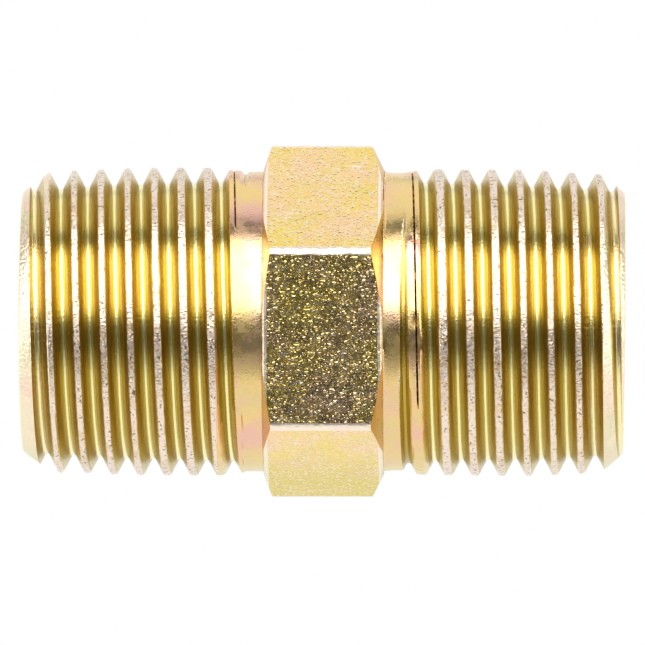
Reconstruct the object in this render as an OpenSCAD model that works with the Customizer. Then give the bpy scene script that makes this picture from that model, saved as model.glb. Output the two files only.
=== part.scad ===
// Hex nipple: a tapered male pipe thread at each end of a hexagon, with a bore right through.
// The pipe axis is X, one pair of hexagon flats faces up and down, and the origin is the
// middle of the hexagon on the axis.

/* [Hexagon] */
// Hexagon width across its flats
hex_af = 21; // [17:0.5:26]
// Length of the hexagon along the pipe axis
hex_w = 8.2; // [5:0.1:14]
// How much each long edge is turned down from a sharp corner
edge_cut = 0.06; // [0.02:0.01:0.3]
// Depth along the axis of the corner chamfer on the left face
left_chamfer = 0.45; // [0.2:0.05:1.5]
// Depth along the axis of the corner chamfer on the right face
right_chamfer = 0.8; // [0.2:0.05:1.5]

/* [Threaded ends] */
// Length of each end, from the hexagon's face to the pipe end
end_len = 16.4; // [13:0.1:22]
// Thread pitch, for 14 threads to the inch
pitch = 1.814; // [1.4:0.001:2.2]
// Crest diameter at the gauge plane
gauge_d = 20.955; // [19:0.005:26]
// Distance of the gauge plane from the pipe end
gauge_len = 8.2; // [6:0.1:11]
// Taper on the diameter, as 1 in this many
taper_run = 16; // [12:1:24]
// How far the widest crests may stand over the gauge diameter
crest_over = 0.005; // [0:0.005:0.1]
// How much smaller the plain collar is than the gauge diameter
collar_drop = 0.55; // [0.3:0.05:1]
// Distance from the hexagon's face to where the last groove starts
runout_start = 0.92; // [0.8:0.02:2.5]
// Turns over which that groove reaches its full depth
runout_turns = 0.7; // [0.3:0.05:1.5]
// Turn of the left thread about the axis, which sets where its last groove starts
left_turn = 37; // [0:1:359]
// Turn of the right thread about the axis, which sets where its last groove starts
right_turn = 132; // [0:1:359]
// Length along the axis of the chamfer on the pipe end
end_chamfer = 1.5; // [0.8:0.1:2.5]
// Drop from the thread's root to the rim of the pipe end
rim_drop = 0.06; // [0.03:0.01:0.3]

/* [Bore] */
// Diameter of the bore
bore_d = 14; // [8:0.1:17]
// Chamfer at each mouth of the bore
bore_chamfer = 0.5; // [0.2:0.1:0.8]

/* [Hidden] */

round_fn = 96;
thread_sides = 36;      // facets round one turn of thread
sink = 0.1;             // how far joined solids reach into each other
past = 1;               // how far a cutter runs past the face it cuts
seam_step = 0.03;       // how far the threaded solid stays under the collar where it leaves it
face_gap = 0.15;        // how far inside the hexagon's flats its corner chamfers start

hex_r = hex_af / 2 / cos(30);
edge_r = hex_r - edge_cut;
face_r = hex_af / 2 - face_gap;           // where the corner chamfers meet the hexagon's faces
collar_r = (gauge_d - collar_drop) / 2;
crest_r_max = gauge_d / 2 + crest_over;
total_len = hex_w + 2 * end_len;

// Whitworth form: 55 degrees between flanks, crest and root each a sixth of the height off
thread_h = 0.6403 * pitch;
half_flat = pitch / 12;
root_dip = 0.06 * thread_h;               // the middle of the rounded root lies this much deeper

// One pitch of the profile as [place along the axis in pitches, height from root 0 to crest 1]
profile = [
    [-half_flat / pitch, 1],
    [half_flat / pitch, 1],
    [0.5 - half_flat / pitch, 0],
    [0.5, -root_dip / thread_h],
    [0.5 + half_flat / pitch, 0]
];
steps = len(profile);

// The threaded solid runs from just inside the collar to the pipe end
thread_lo = runout_start / 2;
thread_hi = end_len;
groove_ref = runout_start - pitch / 2;    // place of a crest at angle 0, half a pitch before a groove
turn_lo = floor((thread_lo - groove_ref) / pitch) - 2;
turn_hi = ceil((thread_hi - groove_ref) / pitch) + 2;
rows = (turn_hi - turn_lo) * steps;

function taper_r(z) = gauge_d / 2 - (gauge_len - (end_len - z)) / taper_run / 2;
function root_r(z) = taper_r(z) - thread_h;
rim_r = root_r(end_len) - root_dip - rim_drop;
crest_rim_r = taper_r(end_len - end_chamfer);

// Chamfer cone at the pipe end
function cone_r(z) = rim_r + (crest_rim_r - rim_r) * (end_len - z) / end_chamfer;

// The threaded solid comes out of the collar's end a little below the collar's surface
function seam_r(z) = z < thread_lo + 2 * sink ? collar_r - seam_step : crest_r_max;

// How much of its depth the groove has, by turns after its start
function groove_share(turns) = min(1, max(0, turns / runout_turns));

// Radius of the threaded solid
function thread_r(z, height, share) =
    let (
        crest = min(taper_r(z), crest_r_max),
        full = min(crest, root_r(z) + height * thread_h),
        crest_fade = collar_r + (crest - collar_r) * share,
        cut = crest_fade - (crest - full) * share
    )
    min(cut, cone_r(z), seam_r(z));

function row_turn(row) = turn_lo + floor(row / steps);
function row_place(row) = row_turn(row) + profile[row % steps][0];
function row_height(row) = profile[row % steps][1];
function row_groove(row) = row_turn(row) + (row % steps < 1 ? -0.5 : 0.5);
function grid_z(row, side) = groove_ref + pitch * (row_place(row) + side / thread_sides);
function grid_share(row, side) = groove_share(row_groove(row) + side / thread_sides - 0.5);

// Rows meet the next turn's rows after one lap; rows past either end fall together on its ring
function grid_index(row, side) =
    side >= thread_sides ? grid_index(row + steps, side - thread_sides)
    : grid_z(row, side) <= thread_lo ? side
    : grid_z(row, side) >= thread_hi ? thread_sides + side
    : 2 * thread_sides + row * thread_sides + side;

function on_circle(r, side, z) =
    [r * cos(360 * side / thread_sides), r * sin(360 * side / thread_sides), z];

function three(a, b, c) = a == b || b == c || a == c ? [] : [[a, b, c]];

module thread_solid() {
    lo_r = collar_r - sink;
    points = concat(
        [for (side = [0 : thread_sides - 1]) on_circle(lo_r, side, thread_lo)],
        [for (side = [0 : thread_sides - 1]) on_circle(rim_r, side, thread_hi)],
        [for (row = [0 : rows - 1], side = [0 : thread_sides - 1])
            let (z = min(max(grid_z(row, side), thread_lo), thread_hi))
            on_circle(thread_r(z, row_height(row), grid_share(row, side)), side, z)]
    );
    walls = [for (row = [0 : rows - steps - 2], side = [0 : thread_sides - 1])
        let (
            a = grid_index(row, side),
            b = grid_index(row, side + 1),
            c = grid_index(row + 1, side + 1),
            d = grid_index(row + 1, side)
        )
        each concat(three(a, d, c), three(a, c, b))];
    foot = [[for (side = [0 : thread_sides - 1]) side]];
    head = [[for (side = [thread_sides - 1 : -1 : 0]) thread_sides + side]];
    polyhedron(points = points, faces = concat(walls, foot, head));
}

// One threaded end, standing up from one face of a hexagon that lies level at the origin
module threaded_end(turn) {
    translate([0, 0, hex_w / 2]) {
        translate([0, 0, -sink])
            cylinder(r = collar_r, h = thread_lo + 2 * sink, $fn = round_fn);
        rotate([0, 0, turn])
            thread_solid();
    }
}

// Hexagon with its long edges turned down and both faces chamfered at the corners
module hexagon() {
    intersection() {
        rotate([0, 90, 0])
            rotate([0, 0, 30])
                cylinder(r = hex_r, h = hex_w, center = true, $fn = 6);
        rotate([0, 90, 0])
            rotate_extrude($fn = round_fn)
                polygon([
                    [0, -hex_w / 2],
                    [face_r, -hex_w / 2],
                    [edge_r, -hex_w / 2 + left_chamfer],
                    [edge_r, hex_w / 2 - right_chamfer],
                    [face_r, hex_w / 2],
                    [0, hex_w / 2]
                ]);
    }
}

module bore() {
    mouth_r = bore_d / 2 + bore_chamfer;
    rotate([0, 90, 0])
        cylinder(d = bore_d, h = total_len + 2 * past, center = true, $fn = round_fn);
    for (turn = [0, 180])
        rotate([0, turn, 0])
            translate([total_len / 2 - bore_chamfer, 0, 0])
                rotate([0, 90, 0])
                    cylinder(r1 = bore_d / 2, r2 = mouth_r + past, h = bore_chamfer + past, $fn = round_fn);
}

module nipple_body() {
    color("goldenrod")
    difference() {
        union() {
            hexagon();
            rotate([0, 270, 0])
                threaded_end(left_turn);
            rotate([0, 90, 0])
                threaded_end(right_turn);
        }
        bore();
    }
}

nipple_body();
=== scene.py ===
import math
import bpy
from mathutils import Matrix, Vector, noise


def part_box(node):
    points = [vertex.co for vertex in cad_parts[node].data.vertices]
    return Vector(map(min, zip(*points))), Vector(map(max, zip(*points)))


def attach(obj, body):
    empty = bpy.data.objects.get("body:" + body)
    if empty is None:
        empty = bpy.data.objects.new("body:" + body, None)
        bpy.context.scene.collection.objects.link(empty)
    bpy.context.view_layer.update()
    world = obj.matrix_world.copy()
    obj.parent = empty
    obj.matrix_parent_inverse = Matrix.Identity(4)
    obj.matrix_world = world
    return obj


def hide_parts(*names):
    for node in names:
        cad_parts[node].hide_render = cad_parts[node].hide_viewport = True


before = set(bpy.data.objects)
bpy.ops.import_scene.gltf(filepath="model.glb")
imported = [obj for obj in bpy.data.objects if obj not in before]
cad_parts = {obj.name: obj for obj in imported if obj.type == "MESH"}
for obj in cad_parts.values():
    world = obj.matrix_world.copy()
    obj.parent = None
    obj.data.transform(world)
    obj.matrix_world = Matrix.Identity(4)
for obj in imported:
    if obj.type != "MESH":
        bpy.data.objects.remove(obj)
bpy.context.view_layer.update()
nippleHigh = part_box("nipple_body")[1]
mm = 0.001
touch = 0.001  # how close to a plane, in mm, counts as lying on it
halfLength = nippleHigh.x / mm  # from the middle of the hexagon to a pipe end
flatHeight = nippleHigh.z / mm  # from the axis to a hexagon flat

# sizes are in millimetres and angles in degrees; the pipe axis is x, and places on it are measured from the
# middle of the hexagon
thread = {
    "pitch": 1.814,  # 14 turns to the inch
    "gaugeRadius": 10.4775,  # over the crests, at the gauge plane
    "gaugeLength": 8.2,  # from the pipe end to the gauge plane
    "taper": 16,  # on the diameter
    "depth": 1.1615,
    "rootRound": 0.22,  # radius in the bottom of the groove
    "flankAngle": 27.5,  # from square to the axis
    "clear": 0.1,  # how far over the crests the groove's bottom stands before the groove starts
    "collarRadius": 10.2,
    "waistLength": 2,  # over which the collar dips beside the hexagon
    "filletRise": 0.6,  # how high a fillet is for its length
    "stepRamp": 0.05,  # half the length of the small step in the collar
    "segments": 180,  # round one turn
    "ragged": 0.07,  # how far torn crests fall short
    # tears in a metre of crest, and how much of it they cover, from none at -1 to all at 1
    "fineTears": 2600, "fineLift": 0.25,
    "coarseTears": 900, "coarseLift": -0.1,
    "droopLength": 5.5,  # over which the thread runs smaller towards the pipe end
    "droopStop": 1.2,  # from the pipe end to where that is all there
    "leanFacing": 36.5,  # elevation from which a leaning end is seen tipped
    "rimRound": 0.14,
}
# places across one thread from its crest, 0, to the root, 0.5, in pitches: closest where the form bends
profilePlaces = [0, 0.04, 0.07, 0.095, 0.125, 0.2, 0.3, 0.37, 0.41, 0.44, 0.47]

# angles round an end run from level at the back, over the top, to the front; a crest lies at crestPlace at
# crestAngle, and the last groove starts at fadeAngle, drifts in by fadeDrift and deepens over fadeTurns
leftEnd = {
    "side": -1, "crestPlace": -7.95, "crestAngle": 53.5,
    "lean": 0, "crestCap": 10.4825,  # out of true, and the most that any crest's radius can be
    "fadeAngle": 187, "fadePlace": 4.5, "fadeTurns": 0.95, "fadeDrift": 5.6,
    "landStart": 6.1, "landEnd": 7.2,  # between which the collar rises to the thread
    "waist": 0.0, "fillet": 0.12,  # how far the collar dips, and its rounding beside the hexagon
    "stepPlace": 5.44, "stepRise": 0.1,  # a small step up in the collar
    "droop": 0.15, "rimRadius": 8.84, "chamferLength": 1.75,  # at the pipe end
    "notch": 0.1, "tornFrom": 0.73, "tornTo": 1.1,  # depth of the torn line, and its two ends in turns
}
rightEnd = {
    "side": 1, "crestPlace": 7.77, "crestAngle": 53.5,
    "lean": 0.55, "crestCap": 10.43,
    "fadeAngle": -11, "fadePlace": 4.7, "fadeTurns": 0.95, "fadeDrift": 5.6,
    "landStart": 5.2, "landEnd": 7.2,
    "waist": 0.07, "fillet": 0.3,
    "stepPlace": 5.44, "stepRise": 0,
    "droop": 0.1, "rimRadius": 8.88, "chamferLength": 1.5,
    "notch": 0.14, "tornFrom": 0.45, "tornTo": 1.02,
}
def direction(elevation):
    # square to the pipe: 0 is level in front, 90 straight up and 180 level behind
    angle = math.radians(elevation)
    return Vector((0, -math.cos(angle), math.sin(angle)))


def only(piece):
    if bpy.context.mode != "OBJECT":
        bpy.ops.object.mode_set(mode="OBJECT")
    bpy.ops.object.select_all(action="DESELECT")
    piece.select_set(True)
    bpy.context.view_layer.objects.active = piece


def applyAll(piece):
    only(piece)
    for modifier in list(piece.modifiers):
        bpy.ops.object.modifier_apply(modifier=modifier.name)


def joinSolids(piece, other, operation):
    # the other solid is used up, as a cutter or a half of the piece
    join = piece.modifiers.new("join", "BOOLEAN")
    join.operation = operation
    join.solver = "EXACT"
    join.object = other
    applyAll(piece)
    bpy.data.objects.remove(other)


def addBar(name, sides, radius, length, middle):
    # a plain bar along the pipe axis
    bpy.ops.object.select_all(action="DESELECT")
    bpy.ops.mesh.primitive_cylinder_add(vertices=sides, radius=radius * mm, depth=length * mm,
                                        location=(middle * mm, 0, 0), rotation=(0, math.pi / 2, 0))
    piece = bpy.context.object
    piece.name = name
    bpy.ops.object.transform_apply(location=True, rotation=True, scale=True)
    return piece


def cutRings(piece, places):
    bpy.ops.object.mode_set(mode="EDIT")
    for place in places:
        bpy.ops.mesh.select_all(action="SELECT")
        bpy.ops.mesh.bisect(plane_co=(place * mm, 0, 0), plane_no=(1, 0, 0))
    bpy.ops.mesh.select_all(action="DESELECT")
    bpy.ops.object.mode_set(mode="OBJECT")


def scaleEnd(piece, place, share):
    # draws the bar's last ring in or out, which turns its last stretch into a cone
    side = math.copysign(1, place)
    for vert in piece.data.vertices:
        if side * vert.co.x > (abs(place) - touch) * mm:
            vert.co.y *= share
            vert.co.z *= share


def smoothStep(low, high, value):
    t = min(1, max(0, (value - low) / (high - low)))
    return t * t * (3 - 2 * t)


def grooveRise(offset):
    # height of the groove's wall over its bottom, at a distance along the axis from its middle
    rounding, angle = thread["rootRound"], math.radians(thread["flankAngle"])
    reach = abs(offset)
    if reach < rounding * math.cos(angle):
        return rounding - math.sqrt(rounding ** 2 - reach ** 2)
    return rounding * (1 - math.sin(angle)) + (reach - rounding * math.cos(angle)) / math.tan(angle)


def taperRadius(end, distance):
    # over the crests, by distance from the middle of the hexagon; the die bit deeper at the pipe end
    droopEnd = halfLength - thread["droopStop"]
    droop = end["droop"] * smoothStep(droopEnd - thread["droopLength"], droopEnd, distance)
    pastGauge = thread["gaugeLength"] - (halfLength - distance)
    return thread["gaugeRadius"] - pastGauge / thread["taper"] / 2 - droop


def blankRadius(end, distance, angle):
    # the turned blank before threading: collar, step up to the thread, taper towards the pipe end
    crest = min(taperRadius(end, distance), end["crestCap"])
    collar = thread["collarRadius"]
    inWaist = min(1, max(0, (distance - hexFace) / thread["waistLength"]))
    collar -= end["waist"] * math.sin(math.pi * inWaist)
    # the step stands behind and underneath, and dies out over the top
    behind = smoothStep(100, 60, angle) if angle > 0 else 1
    ramp = thread["stepRamp"]
    onStep = smoothStep(end["stepPlace"] - ramp, end["stepPlace"] + ramp, distance)
    collar += end["stepRise"] * behind * onStep
    inFillet = min(1, max(0, 1 - (distance - hexFace) / end["fillet"]))
    collar += thread["filletRise"] * end["fillet"] * (1 - math.sqrt(1 - inFillet ** 2))
    if distance < hexFace:
        return thread["collarRadius"]
    return collar + max(0, crest - collar) * smoothStep(end["landStart"], end["landEnd"], distance)


def fadeTurn(end):
    # turn count, along the thread from crestPlace, at which the last groove starts beside the hexagon
    lap = (end["fadeAngle"] - end["crestAngle"]) / 360
    place = end["side"] * end["fadePlace"]
    return lap + round((place - end["crestPlace"]) / thread["pitch"] - lap - 0.5) + 0.5


def tornLine(end, x, angle):
    # 1 on the line that the die tore along the crest beside its last groove
    lap = (math.degrees(angle) - end["crestAngle"]) / 360
    turns = (x - end["crestPlace"]) / thread["pitch"] - lap
    crestTurn = end["side"] * (round(turns) + lap - end["fadeTurn"])
    onCrest = abs(turns - round(turns)) < 0.01
    return float(onCrest and end["tornFrom"] < crestTurn < end["tornTo"])


def threadRadius(end, x, angle, spot):
    pitch, side, distance = thread["pitch"], end["side"], abs(x)
    lap = (math.degrees(angle) - end["crestAngle"]) / 360
    turns = (x - end["crestPlace"]) / pitch - lap
    groove = math.floor(turns) + 0.5 + lap
    # the last groove deepens fast at first and drifts quickly over to its place
    share = min(1, max(0, side * (groove - end["fadeTurn"]) / end["fadeTurns"]))
    share = 1 - (1 - share) ** 2
    bottom = taperRadius(end, distance) - thread["depth"]
    bottom += (1 - share) * (thread["depth"] + thread["clear"])
    offset = (turns - math.floor(turns) - 0.5) * pitch - side * end["fadeDrift"] * (1 - share) ** 4
    wall = bottom + grooveRise(offset)
    crest = blankRadius(end, distance, math.degrees(angle))
    if distance > end["landStart"]:
        torn = max(0, noise.noise(spot * thread["fineTears"]) + thread["fineLift"])
        elsewhere = spot * thread["coarseTears"] + Vector((7, 3, 1))
        torn += max(0, noise.noise(elsewhere) + thread["coarseLift"])
        crest -= torn * thread["ragged"] * smoothStep(end["landStart"], end["landStart"] + 1, distance)
    crest -= end["notch"] * tornLine(end, x, angle)
    return min(wall, crest)


def drawProfile(name, first):
    # one pitch of points from root to root, drawn out of a single point in steps along the axis
    sweepRadius = 10  # until each point gets a radius of its own
    bpy.ops.object.select_all(action="DESELECT")
    bpy.ops.mesh.primitive_plane_add(size=mm, location=(first * mm, sweepRadius * mm, 0))
    piece = bpy.context.object
    piece.name = name
    bpy.ops.object.mode_set(mode="EDIT")
    bpy.ops.mesh.select_all(action="SELECT")
    bpy.ops.mesh.merge(type="CENTER")
    bpy.ops.mesh.select_mode(type="VERT")
    bpy.ops.mesh.select_all(action="SELECT")
    before = -0.5
    for place in sorted([-p for p in profilePlaces[1:]] + profilePlaces) + [0.5]:
        step = (place - before) * thread["pitch"] * mm
        bpy.ops.mesh.extrude_vertices_move(TRANSFORM_OT_translate={"value": (step, 0, 0)})
        before = place
    bpy.ops.object.mode_set(mode="OBJECT")
    bpy.ops.object.transform_apply(location=True, rotation=True, scale=True)
    return piece


def cutThread(name, end):
    pitch, side = thread["pitch"], end["side"]
    rootPlane, endPlane = 3.4, halfLength + pitch * 0.4
    # the sweep runs more than a turn past each plane that it is cut off at
    runOver = 1.3 * pitch
    near, far = rootPlane - runOver, endPlane + runOver
    start = near if side > 0 else -far
    turns = math.ceil((far - near) / pitch)
    # it starts so that a crest falls on its place
    crestShift = (end["crestPlace"] - start) / pitch - end["crestAngle"] / 360
    piece = drawProfile(name, start + (crestShift - math.floor(crestShift)) * pitch - pitch / 2)
    sweep = piece.modifiers.new("sweep", "SCREW")
    sweep.axis = "X"
    sweep.angle = math.tau
    sweep.screw_offset = pitch * mm
    sweep.iterations = turns
    sweep.steps = thread["segments"]
    sweep.render_steps = thread["segments"]
    applyAll(piece)
    bpy.ops.object.mode_set(mode="EDIT")
    bpy.ops.mesh.select_all(action="SELECT")
    bpy.ops.mesh.remove_doubles(threshold=0.0005 * mm)
    bpy.ops.object.mode_set(mode="OBJECT")
    for vert in piece.data.vertices:
        angle = math.atan2(vert.co.z, vert.co.y)
        radius = threadRadius(end, vert.co.x / mm, angle, vert.co) * mm
        vert.co.y = radius * math.cos(angle)
        vert.co.z = radius * math.sin(angle)
    # squared off inside the hexagon and past the pipe end, each cut filled to close the solid
    bpy.ops.object.mode_set(mode="EDIT")
    for place, way in ((rootPlane, -1), (endPlane, 1)):
        bpy.ops.mesh.select_all(action="SELECT")
        bpy.ops.mesh.bisect(plane_co=(side * place * mm, 0, 0), plane_no=(side * way, 0, 0),
                            use_fill=True, clear_outer=True, threshold=1e-8)
    bpy.ops.mesh.select_all(action="SELECT")
    bpy.ops.mesh.normals_make_consistent(inside=False)
    bpy.ops.object.mode_set(mode="OBJECT")
    return piece


def turnedBlank(name, end):
    # a bar with its pipe end faced and chamfered, to trim the thread with
    side, wide, inner = end["side"], 11.5, 2
    length = halfLength - inner
    piece = addBar(name, sides=256, radius=wide, length=length, middle=side * (inner + length / 2))
    crest = taperRadius(end, halfLength - end["chamferLength"])
    slope = (crest - end["rimRadius"]) / end["chamferLength"]
    cutRings(piece, [side * (halfLength - (wide - end["rimRadius"]) / slope)])
    scaleEnd(piece, side * halfLength, end["rimRadius"] / wide)
    verts, endPlane = piece.data.vertices, (halfLength - touch) * mm
    for edge in piece.data.edges:
        edge.select = all(side * verts[i].co.x > endPlane for i in edge.vertices)
    bpy.ops.object.mode_set(mode="EDIT")
    bpy.ops.mesh.select_mode(type="EDGE")
    bpy.ops.mesh.bevel(offset=thread["rimRound"] * mm, segments=3, profile=0.5)
    bpy.ops.object.mode_set(mode="OBJECT")
    return piece


def makeEnd(name, end):
    end["fadeTurn"] = fadeTurn(end)
    piece = cutThread(name, end)
    joinSolids(piece, turnedBlank(name + "Blank", end), "INTERSECT")
    return piece


hexagon = {
    "width": 8.2,
    "edgeRound": 0.62,  # rounding of the six long edges
    "faceGap": 0.15,  # how far inside the flats the corner cones start
    "leftChamfer": 0.6,
    "rightChamfer": 0.85,
    "burr": 0.06,  # softened line where a cone meets a flat
}
hexFace = hexagon["width"] / 2


def makeHexagon():
    width = hexagon["width"]
    piece = addBar("hexagon", sides=6, radius=flatHeight / math.cos(math.pi / 6), length=width, middle=0)
    for edge in piece.data.edges:
        first, second = (piece.data.vertices[i].co for i in edge.vertices)
        edge.select = abs(first.x - second.x) > width / 2 * mm
    bpy.ops.object.mode_set(mode="EDIT")
    bpy.ops.mesh.select_mode(type="EDGE")
    bpy.ops.mesh.bevel(offset=hexagon["edgeRound"] * math.tan(math.pi / 6) * mm, segments=6, profile=0.5)
    bpy.ops.object.mode_set(mode="OBJECT")
    # a turned disc with a cone on each side takes the corners off
    wide, flatRing = 13, flatHeight - hexagon["faceGap"]
    disc = addBar("disc", sides=360, radius=wide, length=width, middle=0)
    cornerReach = nippleHigh.y / mm
    depths = [depth * (wide - flatRing) / (cornerReach - flatRing)
              for depth in (hexagon["leftChamfer"], hexagon["rightChamfer"])]
    cutRings(disc, [depths[0] - width / 2, width / 2 - depths[1]])
    for side in (-1, 1):
        scaleEnd(disc, side * width / 2, flatRing / wide)
    joinSolids(piece, disc, "INTERSECT")
    softenCones(piece)
    return piece


def softenCones(piece):
    # the line where each cone meets the flats and the rounded edges
    mesh = piece.data
    sides = {}
    for polygon in mesh.polygons:
        for key in polygon.edge_keys:
            sides.setdefault(key, []).append(abs(polygon.normal.x))
    for edge in mesh.edges:
        low, high = sorted(sides[edge.key])
        edge.select = low < 0.01 and 0.05 < high < 0.99
    bpy.ops.object.mode_set(mode="EDIT")
    bpy.ops.mesh.select_mode(type="EDGE")
    bpy.ops.mesh.bevel(offset=hexagon["burr"] * mm, segments=2, profile=0.5, clamp_overlap=True)
    bpy.ops.object.mode_set(mode="OBJECT")


bore = {"radius": 7.0, "chamfer": 0.5}


def makeBoreCutter():
    past = 1
    reach = halfLength + past
    piece = addBar("drill", sides=192, radius=bore["radius"], length=2 * reach, middle=0)
    mouth = halfLength - bore["chamfer"]
    cutRings(piece, [-mouth, mouth])
    for side in (-1, 1):
        scaleEnd(piece, side * reach, (bore["radius"] + bore["chamfer"] + past) / bore["radius"])
    return piece


def leanOf(end):
    # the die ran a little out of true with the hexagon
    side, tip = end["side"], math.radians(end["lean"])
    foot = Vector((side * hexFace * mm, 0, 0))
    back = Vector((-side * end["rimRadius"] * math.sin(tip) * mm, 0, 0))
    turn = Matrix.Rotation(-side * tip, 4, direction(thread["leanFacing"]))
    return Matrix.Translation(foot + back) @ turn @ Matrix.Translation(-foot)


def makeNipple():
    piece = makeHexagon()
    print("hexagon", len(piece.data.polygons))
    for name, end in (("leftThread", leftEnd), ("rightThread", rightEnd)):
        part = makeEnd(name, end)
        part.data.transform(leanOf(end))
        print(name, len(part.data.polygons))
        joinSolids(piece, part, "UNION")
    joinSolids(piece, makeBoreCutter(), "DIFFERENCE")
    print("nipple", len(piece.data.polygons))
    piece.name = "hexNipple"
    only(piece)
    bpy.ops.object.shade_smooth_by_angle(angle=math.radians(32))
    even = piece.modifiers.new("evenShading", "WEIGHTED_NORMAL")
    even.keep_sharp = True
    even.weight = 60
    applyAll(piece)
    return piece


nipple = makeNipple()

finishes = {
    # zinc plate under a film of yellow chromate: the film's main colour, its pink and green patches, the
    # size and depth of its grain, how far that is drawn out along the pipe, and the depth of turning lines
    # cut and polished by a die: deep gold flanks with sharp bands of light, painted darker low in the
    # groove as painted shade, roots painted pale as a painted highlight, rubbed pink crests with dark
    # specks painted on as painted shade
    "thread": {
        "main": "#cfb85e", "pink": "#d2ac68", "green": "#c2ba58", "pinkShare": 0.35, "greenShare": 0.3,
        "root": "#fbf4b4", "crest": "#f6e4d2", "speckShade": "#4a3826", "streak": "#ab9140", "deepShade": "#b0902a",
        "grain": 0.16, "grainDepth": 0.007, "stretch": 1, "lines": 0.008, "roughness": 0.23,
        "flankRoughness": 0.25,
    },
    # turned smooth: soft wide bands of light that drift from pale gold to pink
    "collar": {
        "main": "#f2d28c", "pink": "#efbcb0", "green": "#dcd48c", "pinkShare": 0.85, "greenShare": 0.35,
        "grain": 0.12, "grainDepth": 0.007, "stretch": 1, "lines": 0.012, "roughness": 0.25,
    },
    # turned roughly and rubbed nearly bare: pale, with a broken, silvery shine
    "chamfer": {
        "main": "#fbeccc", "pink": "#f4d2c0", "green": "#dcdfae", "pinkShare": 0.6, "greenShare": 0.4,
        "grain": 0.2, "grainDepth": 0.06, "stretch": 1, "lines": 0.05, "roughness": 0.36,
    },
    # turned off the bar's corners: plain amber, a little duller than the flats
    "cone": {
        "main": "#dcb25c", "pink": "#e8bc90", "green": "#c9c070", "pinkShare": 0.4, "greenShare": 0.3,
        "grain": 0.2, "grainDepth": 0.008, "stretch": 1, "lines": 0.003, "roughness": 0.28,
    },
    # skin of the drawn bar, never cut: a glossy orange peel of light and dark grains, streaked and flecked
    "flat": {
        "main": "#f8da74", "pink": "#fcd2ac", "green": "#dac966", "pinkShare": 0.75, "greenShare": 0.25,
        "grain": 0.18, "grainDepth": 0.06, "stretch": 1, "lines": 0, "roughness": 0.17,
        "dull": "#d9b467", "dullShare": 0.3, "fleck": "#fff4da", "rubbed": "#f6ead2",
    },
    # long edges and the softened lines round the cones, painted near white as a painted highlight: a soft
    # light line
    "edge": {
        "main": "#fff0da", "pink": "#f8dccf", "green": "#eaeacc", "pinkShare": 0.4, "greenShare": 0.2,
        "grain": 0.2, "grainDepth": 0.04, "stretch": 0.5, "lines": 0, "roughness": 0.34,
    },
    # drilled and thinly plated: brown gold without sharp reflections
    "bore": {
        "main": "#b79a58", "pink": "#b48a62", "green": "#8f9056", "pinkShare": 0.4, "greenShare": 0.5,
        "grain": 0.3, "grainDepth": 0.012, "stretch": 1, "lines": 0.006, "roughness": 0.38,
    },
}
film = {
    # heights over the axis between which it turns greener, and how much
    "lowDown": {"From_Min": -2, "From_Max": -9, "To_Max": 0.75},
    # heights in a groove, 0 at its root and 1 at its crest, between which each part's colour comes in
    # painted shade: the gold darker low in the groove
    "deepShade": {"From_Min": 0.65, "From_Max": 0.15, "To_Max": 0.8},
    # painted highlight: a pale line along the root of the groove
    "root": {"From_Min": 0.12, "From_Max": 0.02},
    "crest": {"From_Min": 0.84, "From_Max": 0.93},
    "rubbed": {"From_Min": 0.52, "From_Max": 0.64, "To_Max": 0.6},  # heights of the grain
    "grainDetail": 0.6,
    "glossier": 0.04, "duller": 0.06,  # how far the roughness drifts each way
    "streakShare": 0.75, "speckShadeShare": 0.8, "crestPink": 0.35,
    "pitDepth": 0.06,
    # a painted shadow along the torn line, the shade that the rolled burr casts
    "burrShadow": "#2c2012", "burrShadowLow": 0.3, "burrShadowHigh": 0.93,  # in the torn line
    "onLine": {"From_Min": 0.3, "From_Max": 0.7},
}
patterns = {
    # noise with grains about size mm across, longer along an axis with a stretch under 1; it starts to show
    # at low and is all there at high; shift takes it away from the others
    "pinkPatch": {"size": 3.2, "low": 0.36, "high": 0.7},
    "greenPatch": {"size": 2.6, "shift": 11, "low": 0.5, "high": 0.68},
    "dullPatch": {"size": 0.8, "shift": 5, "low": 0.3, "high": 0.7},
    # real turning lines are about 0.05 apart, drawn coarser so that they show
    "turnedLine": {"size": 0.09, "detail": 2, "stretch": (1, 0.03, 0.03)},
    "turnedStreak": {"size": 0.1, "detail": 2, "shift": 17, "stretch": (1, 0.02, 0.02),
                     "low": 0.48, "high": 0.64},
    "crestPatch": {"size": 1.3, "shift": 8, "low": 0.45, "high": 0.7},
    # dark specks painted on the crests as painted shade
    "crestSpeckShade": {"size": 0.2, "shift": 3, "low": 0.58, "high": 0.66},
    "crestPit": {"size": 0.16, "shift": 3},
    "drawnStreak": {"size": 0.13, "shift": 21, "stretch": (0.12, 1, 1), "low": 0.5, "high": 0.72},
    "fleck": {"size": 0.3, "detail": 4, "shift": 31, "stretch": (0.3, 1, 1), "low": 0.63, "high": 0.68},
    "fleckPatch": {"size": 2.2, "detail": 1, "shift": 41, "low": 0.42, "high": 0.62},
    "tornBreak": {"size": 0.6, "shift": 9, "low": 0.36, "high": 0.5},
}


def linear(hexColour):
    parts = [int(hexColour[i:i + 2], 16) / 255 for i in (1, 3, 5)]
    return [p / 12.92 if p <= 0.04045 else ((p + 0.055) / 1.055) ** 2.4 for p in parts] + [1]


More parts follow.
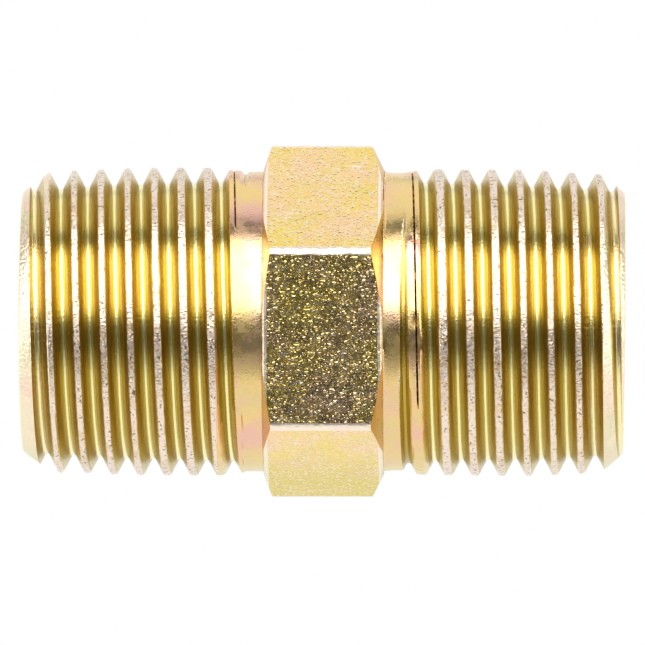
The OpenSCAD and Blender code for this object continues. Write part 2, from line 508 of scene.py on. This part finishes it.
def addNode(tree, kind, sockets=None, **settings):
    # settings are a node's properties or, by name, its inputs; sockets are inputs by name or number, each
    # with a value, another node's output, or a node whose first output is meant
    made = tree.nodes.new(kind)
    for key, value in settings.items():
        if key in made.bl_rna.properties:
            setattr(made, key, value)
    for key, value in settings.items():
        if key not in made.bl_rna.properties:
            made.inputs[key.replace("_", " ")].default_value = value
    for key, source in (sockets or {}).items():
        if isinstance(source, bpy.types.Node):
            source = source.outputs[0]
        if isinstance(source, bpy.types.NodeSocket):
            tree.links.new(source, made.inputs[key])
        else:
            made.inputs[key].default_value = source
    return made


def newMaterial(name):
    material = bpy.data.materials.new(name)
    material.use_nodes = True
    tree = material.node_tree
    tree.nodes.clear()
    return material, tree, addNode(tree, "ShaderNodeOutputMaterial")


def pattern(tree, place, look, bottom=0, top=1):
    # a pattern's bare noise or, where it has a low and a high, its share of the surface from bottom to top
    if "stretch" in look:
        place = addNode(tree, "ShaderNodeVectorMath", {0: place, 1: look["stretch"]}, operation="MULTIPLY")
    if "shift" in look:
        away = (look["shift"], 2 * look["shift"], -look["shift"])
        place = addNode(tree, "ShaderNodeVectorMath", {0: place, 1: away}, operation="ADD")
    grains = addNode(tree, "ShaderNodeTexNoise", {"Vector": place}, Scale=1 / look["size"],
                     Detail=look.get("detail", 3), Roughness=0.55)
    if "low" not in look:
        return grains
    return addNode(tree, "ShaderNodeMapRange", {"Value": grains}, interpolation_type="SMOOTHSTEP",
                   From_Min=look["low"], From_Max=look["high"], To_Min=bottom, To_Max=top)


def layered(tree, colour, layers):
    # each layer is a share of the surface and the colour that covers it there
    for share, over in layers:
        mix = addNode(tree, "ShaderNodeMix", {0: share, 6: colour, 7: over}, data_type="RGBA")
        colour = mix.outputs[2]
    return colour


def plated(name, finish):
    material, tree, output = newMaterial(name)
    paint = {key: linear(value) for key, value in finish.items() if isinstance(value, str)}
    eased = {"interpolation_type": "SMOOTHSTEP"}
    coords = addNode(tree, "ShaderNodeTexCoord")
    place = addNode(tree, "ShaderNodeVectorMath", {0: coords.outputs["Object"]}, operation="SCALE",
                    Scale=1 / mm)
    level = addNode(tree, "ShaderNodeSeparateXYZ", {0: place}).outputs["Z"]
    lowDown = addNode(tree, "ShaderNodeMapRange", {"Value": level}, **eased, **film["lowDown"])
    layers = [
        # the film's thickness drifts, which turns its gold pink in places and green in others
        (pattern(tree, place, patterns["pinkPatch"], top=finish["pinkShare"]), paint["pink"]),
        (pattern(tree, place, patterns["greenPatch"], top=finish["greenShare"]), paint["green"]),
        # the film turns greener lower down
        (lowDown, paint["green"]),
    ]
    grain = pattern(tree, place, {"size": finish["grain"], "detail": film["grainDetail"],
                                  "stretch": (finish["stretch"], 1, 1)})
    rough = pattern(tree, place, patterns["dullPatch"], finish["roughness"] - film["glossier"],
                    finish["roughness"] + film["duller"])
    bump = addNode(tree, "ShaderNodeBump", {"Height": grain}, Distance=finish["grainDepth"] * mm,
                   Strength=1.0)
    if finish["lines"]:
        # fine lines left by turning, running round the pipe
        lines = pattern(tree, place, patterns["turnedLine"])
        bump = addNode(tree, "ShaderNodeBump", {"Height": lines, "Normal": bump},
                       Distance=finish["lines"] * mm, Strength=1.0)
    if "crest" in finish:
        height = addNode(tree, "ShaderNodeAttribute", attribute_name="grooveHeight").outputs["Fac"]
        deepShade, root, crest = (addNode(tree, "ShaderNodeMapRange", {"Value": height}, **eased, **film[part])
                             for part in ("deepShade", "root", "crest"))
        # the crest is rubbed and pitted, with dark specks painted on it: painted shade standing in for the
        # dark reflections its grain catches
        worn = layered(tree, paint["crest"], [
            (pattern(tree, place, patterns["crestPatch"], top=film["crestPink"]), paint["pink"]),
            (pattern(tree, place, patterns["crestSpeckShade"], top=film["speckShadeShare"]), paint["speckShade"]),
        ])
        # darker streaks run round the flanks; low in the groove the gold is painted deeper and darker as
        # painted shade, over a root painted pale as a painted highlight
        layers += [
            (pattern(tree, place, patterns["turnedStreak"], top=film["streakShare"]), paint["streak"]),
            # painted shade low in the groove
            (deepShade, paint["deepShade"]),
            # a painted highlight along the root
            (root, paint["root"]),
            (crest, worn),
        ]
        rough = addNode(tree, "ShaderNodeMix", {0: crest, 2: finish["flankRoughness"], 3: rough},
                        data_type="FLOAT")
        pits = pattern(tree, place, patterns["crestPit"])
        bump = addNode(tree, "ShaderNodeBump", {"Height": pits, "Normal": bump, "Strength": crest},
                       Distance=film["pitDepth"] * mm, invert=True)
    if "fleck" in finish:
        flecks = addNode(tree, "ShaderNodeMath", {0: pattern(tree, place, patterns["fleck"]),
                                                  1: pattern(tree, place, patterns["fleckPatch"])},
                         operation="MULTIPLY")
        rubbed = addNode(tree, "ShaderNodeMapRange", {"Value": grain}, **eased, **film["rubbed"])
        layers += [
            # dull streaks and bright flecks dragged along the bar when it was drawn
            (pattern(tree, place, patterns["drawnStreak"], top=finish["dullShare"]), paint["dull"]),
            (flecks, paint["fleck"]),
            # the film is rubbed thin on the high spots of the grain
            (rubbed, paint["rubbed"]),
        ]
    # the torn line gets a painted shadow along its length, the shade cast by its rolled burr, stronger in
    # places
    line = addNode(tree, "ShaderNodeAttribute", attribute_name="tornLine").outputs["Fac"]
    onLine = addNode(tree, "ShaderNodeMapRange", {"Value": line}, **eased, **film["onLine"])
    broken = pattern(tree, place, patterns["tornBreak"], film["burrShadowLow"], film["burrShadowHigh"])
    burrShadow = addNode(tree, "ShaderNodeMath", {0: onLine, 1: broken}, operation="MULTIPLY")
    layers.append((burrShadow, linear(film["burrShadow"])))
    colour = layered(tree, paint["main"], layers)
    shader = addNode(tree, "ShaderNodeBsdfPrincipled",
                     {"Base Color": colour, "Normal": bump, "Roughness": rough}, Metallic=1.0)
    tree.links.new(shader.outputs[0], output.inputs["Surface"])
    return material


flatAngles = [math.radians(30 + 60 * n) for n in range(6)]
facing = {
    # how far along the pipe a face looks: 0 is straight out from the axis and 1 is along it
    "boreWall": 0.5, "cone": 0.87, "chamfer": 0.4, "flankLow": 0.8, "flankHigh": 0.95,
    "flat": 0.9995,  # how nearly a face looks the same way as a flat does
}


def regionOf(middle, normal):
    # which finish a face wears, by where it lies (mm) and which way it looks
    distance, radius, along = abs(middle.x), math.hypot(middle.y, middle.z), abs(normal.x)
    nearBore, nearCollar, nearEnd = 0.2, 0.1, 2.4
    if radius < bore["radius"] + nearBore and along < facing["boreWall"]:
        return "bore"
    if distance < hexFace + touch and radius > thread["collarRadius"]:
        if along > facing["cone"]:
            return "cone"
        match = max(normal.y * math.cos(a) + normal.z * math.sin(a) for a in flatAngles)
        # edges and softened cone lines get the edge finish, painted near white as a painted highlight
        return "flat" if match > facing["flat"] else "edge"
    end = leftEnd if middle.x < 0 else rightEnd
    if distance < end["landEnd"] and radius > thread["collarRadius"] - nearCollar:
        return "collar"
    # near the pipe end, all that isn't a crest or a flank of the thread
    onFlank = facing["flankLow"] < along < facing["flankHigh"]
    if distance > halfLength - nearEnd and along > facing["chamfer"] and not onFlank:
        return "chamfer"
    return "thread"


regions = list(finishes)
nipple.data.materials.clear()
for region in regions:
    nipple.data.materials.append(plated(region + "YellowZinc", finishes[region]))
for polygon in nipple.data.polygons:
    polygon.material_index = regions.index(regionOf(polygon.center / mm, polygon.normal))

# how high each point stands in its groove, 0 at the root and 1 at the crest
straighten = {1: leanOf(rightEnd).inverted(), -1: leanOf(leftEnd).inverted()}
heights = nipple.data.attributes.new("grooveHeight", "FLOAT", "POINT")
torn = nipple.data.attributes.new("tornLine", "FLOAT", "POINT")
for vert in nipple.data.vertices:
    end = rightEnd if vert.co.x > 0 else leftEnd
    spot = straighten[end["side"]] @ vert.co
    distance, radius = abs(spot.x) / mm, math.hypot(spot.y, spot.z) / mm
    crest = blankRadius(end, distance, 180)
    root = taperRadius(end, distance) - thread["depth"]
    heights.data[vert.index].value = (radius - root) / (crest - root)
    torn.data[vert.index].value = tornLine(end, spot.x / mm, math.atan2(spot.z, spot.y))
print("materials", len(regions))

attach(nipple, "root")
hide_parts("nipple_body")

studio = {
    "cameraElevation": 36.5, "cameraTurn": 0.76, "distance": 820, "lens": 671.7,
    "shift": (-0.0025, -0.0014),
    # each softbox fills a band of elevations
    "topLow": 43.8, "topHigh": 102, "topReach": 500, "topLength": 1200, "topPower": 2.9,
    "spillLow": 27, "spillHigh": 43, "spillReach": 520, "spillLength": 300, "spillPower": 0.03,
    "gapLow": 9, "gapHigh": 26, "gapReach": 560, "gapLength": 300, "gapPower": 0.12,
    "backLow": 122.5, "backHigh": 179, "backReach": 700, "backLength": 1500, "backPower": 0.97,
    "cardLow": 1, "cardHigh": 8, "cardReach": 900, "cardLength": 1500, "cardPower": 0.6,
    # these come in pairs, each swung that many degrees towards a pipe end
    "sideLow": 0, "sideHigh": 46, "sideReach": 600, "sideLength": 340, "sidePower": 0.45,
    "sideSwing": 72,
    "wingLow": 50, "wingHigh": 130, "wingReach": 600, "wingLength": 300, "wingPower": 2.2,
    "wingSwing": 62,
    "world": 0.033, "tablePower": 1.0, "tableDrop": 140, "tableSize": 6000,
}


def softBox(name, way=0):
    # way is the pipe end that a box with a swing hangs towards, -1 or 1
    low, high, reach = studio[name + "Low"], studio[name + "High"], studio[name + "Reach"]
    length, swing = studio[name + "Length"], math.radians(way * studio.get(name + "Swing", 0))
    middle = direction((low + high) / 2) * math.cos(swing) + Vector((math.sin(swing), 0, 0))
    height = 2 * reach * mm * math.tan(math.radians((high - low) / 2))
    bpy.ops.object.light_add(type="AREA", location=middle * reach * mm)
    lamp = bpy.context.object
    lamp.name = name + "Box"
    lamp.rotation_euler = middle.to_track_quat("Z", "Y").to_euler()
    lamp.data.shape = "RECTANGLE"
    lamp.data.size = length * mm
    lamp.data.size_y = height
    lamp.data.energy = studio[name + "Power"] * height * length * mm * math.pi


for name in ("top", "spill", "gap", "back", "card"):
    softBox(name)
for way in (-1, 1):
    softBox("side", way)
    softBox("wing", way)

# the nipple stands clear of a light table, which leaves no shadow
bpy.ops.object.select_all(action="DESELECT")
bpy.ops.mesh.primitive_plane_add(size=studio["tableSize"] * mm,
                                 location=(0, 0, -studio["tableDrop"] * mm))
table = bpy.context.object
table.name = "lightTable"
tableLight, tree, output = newMaterial("opalAcrylic")  # lit from below: plain white
glow = addNode(tree, "ShaderNodeEmission", Color=(1, 1, 1, 1), Strength=studio["tablePower"])
tree.links.new(glow.outputs[0], output.inputs["Surface"])
table.data.materials.append(tableLight)

world = bpy.data.worlds.new("studio")
bpy.context.scene.world = world
world.use_nodes = True
background = world.node_tree.nodes["Background"]
background.inputs["Color"].default_value = (1, 1, 1, 1)
background.inputs["Strength"].default_value = studio["world"]

bpy.ops.object.camera_add()
camera = bpy.context.object
stand = Matrix.Rotation(math.radians(90 - studio["cameraElevation"]), 4, "X")
stand = stand @ Matrix.Rotation(math.radians(studio["cameraTurn"]), 4, "Y")
camera.matrix_world = stand @ Matrix.Translation((0, 0, studio["distance"] * mm))
camera.data.sensor_width = 36
camera.data.lens = studio["lens"]
camera.data.shift_x, camera.data.shift_y = studio["shift"]
camera.data.clip_end = 20  # metres
bpy.context.scene.camera = camera
bpy.context.scene.view_settings.view_transform = "Standard"
